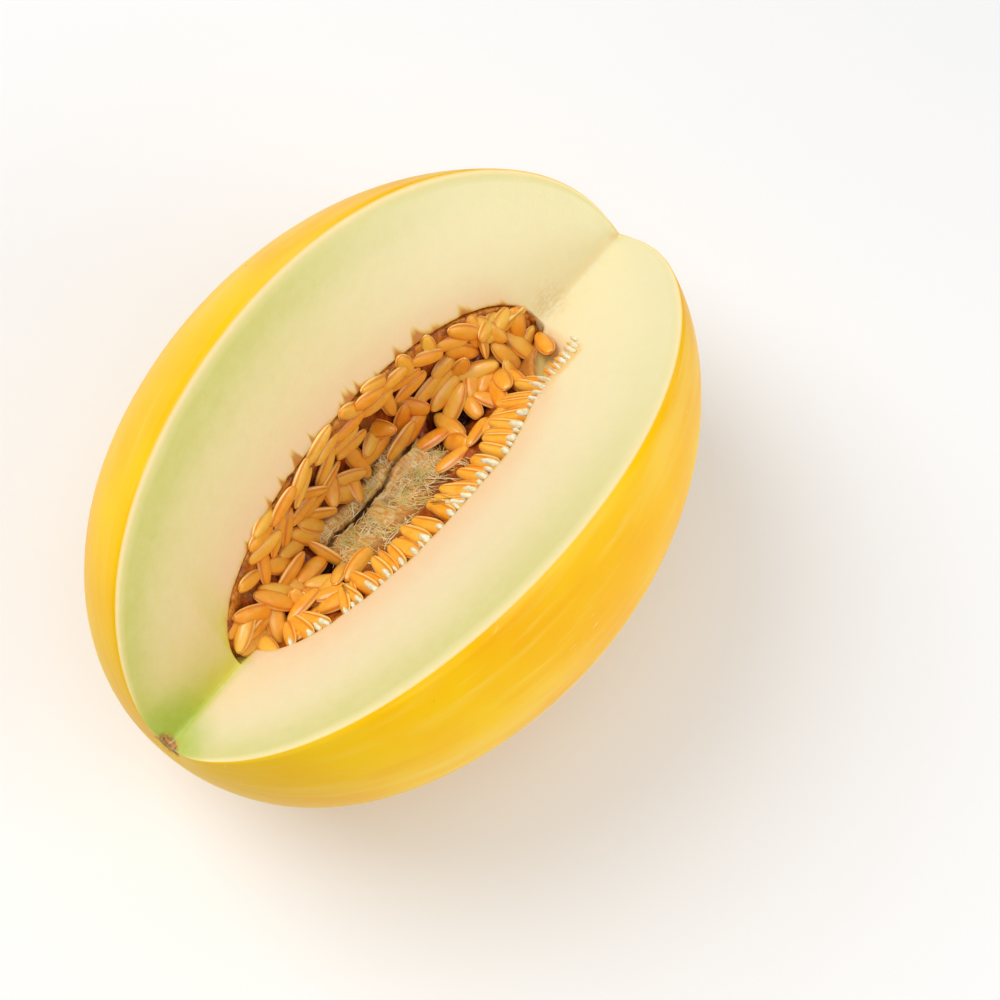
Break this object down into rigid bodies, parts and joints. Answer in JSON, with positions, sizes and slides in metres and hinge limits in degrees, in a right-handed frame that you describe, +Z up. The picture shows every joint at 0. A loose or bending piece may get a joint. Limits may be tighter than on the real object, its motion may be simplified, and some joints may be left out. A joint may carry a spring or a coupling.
{
  "type": "cut melon",
  "caption": "Smooth yellow melon lying on its side with a lengthwise quarter cut out, showing pale flesh, soft pulp and seeds.",
  "frame": {"origin": "on the surface that the melon rests on, below the middle of its length", "axes": "+X along the core from the stem end to the blossom end, +Z up through the middle of the missing quarter"},
  "size_m": [0.2019, 0.147, 0.1237],
  "materials": {
    "rind_and_flesh": "satin",
    "pulp": "wet",
    "seed_coat": "wet",
    "seed_kernel": "satin"
  },
  "bodies": {
    "root": {"melon_body": "rind_and_flesh", "seed_pulp": "pulp", "cut_seed_01": "seed_kernel", "cut_seed_02": "seed_kernel", "cut_seed_03": "seed_kernel", "cut_seed_04": "seed_kernel", "cut_seed_05": "seed_kernel", "cut_seed_06": "seed_kernel", "cut_seed_07": "seed_kernel", "cut_seed_08": "seed_kernel", "cut_seed_09": "seed_kernel", "cut_seed_10": "seed_kernel", "cut_seed_11": "seed_kernel", "cut_seed_12": "seed_kernel", "cut_seed_13": "seed_kernel", "cut_seed_14": "seed_kernel", "cut_seed_15": "seed_kernel", "cut_seed_16": "seed_kernel", "cut_seed_17": "seed_kernel", "cut_seed_18": "seed_kernel", "cut_seed_19": "seed_kernel", "cut_seed_20": "seed_kernel", "cut_seed_21": "seed_kernel", "cut_seed_22": "seed_kernel", "cut_seed_23": "seed_kernel", "cut_seed_24": "seed_kernel", "whole_seed_01": "seed_coat", "whole_seed_02": "seed_coat", "whole_seed_03": "seed_coat", "whole_seed_04": "seed_coat", "whole_seed_05": "seed_coat", "whole_seed_06": "seed_coat", "whole_seed_07": "seed_coat", "whole_seed_08": "seed_coat", "whole_seed_09": "seed_coat", "whole_seed_10": "seed_coat", "whole_seed_11": "seed_coat", "whole_seed_12": "seed_coat", "whole_seed_13": "seed_coat", "whole_seed_14": "seed_coat", "whole_seed_15": "seed_coat", "whole_seed_16": "seed_coat", "whole_seed_17": "seed_coat", "whole_seed_18": "seed_coat", "whole_seed_19": "seed_coat", "whole_seed_20": "seed_coat", "whole_seed_21": "seed_coat", "whole_seed_22": "seed_coat", "whole_seed_23": "seed_coat", "whole_seed_24": "seed_coat", "whole_seed_25": "seed_coat", "whole_seed_26": "seed_coat", "whole_seed_27": "seed_coat", "whole_seed_28": "seed_coat", "whole_seed_29": "seed_coat", "whole_seed_30": "seed_coat", "whole_seed_31": "seed_coat", "whole_seed_32": "seed_coat", "whole_seed_33": "seed_coat", "whole_seed_34": "seed_coat"}
  },
  "joints": []
}
